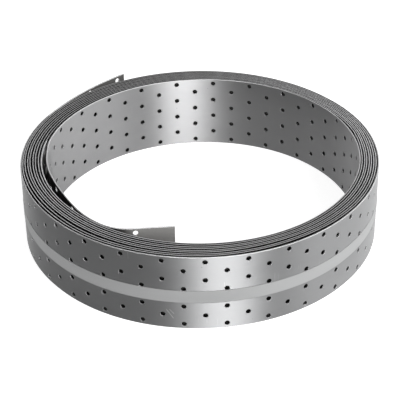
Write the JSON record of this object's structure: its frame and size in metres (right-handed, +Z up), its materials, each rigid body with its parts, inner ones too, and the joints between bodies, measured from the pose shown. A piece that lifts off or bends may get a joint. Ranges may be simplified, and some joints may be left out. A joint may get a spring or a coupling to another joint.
{
  "type": "perforated metal strap",
  "caption": "Flat steel strap with staggered rows of round holes, wound on edge into an open coil with a free end outside, a free end across its bore and a grey binding tape.",
  "frame": {"origin": "middle of the base of the whole part, at floor level; the coil's own axis stands 3.55 mm from it along -Y", "axes": "+Z up along the coil's axis, +X along the straight outer free end towards its tip, +Y out of that end's outer face"},
  "size_m": [0.3588, 0.3659, 0.08],
  "materials": {
    "strap": "smooth satin steel with fine marks along the strap",
    "tape": "plain flat light grey"
  },
  "bodies": {
    "root": {"strap_coil": "strap", "binding_tape": "tape"}
  },
  "joints": []
}
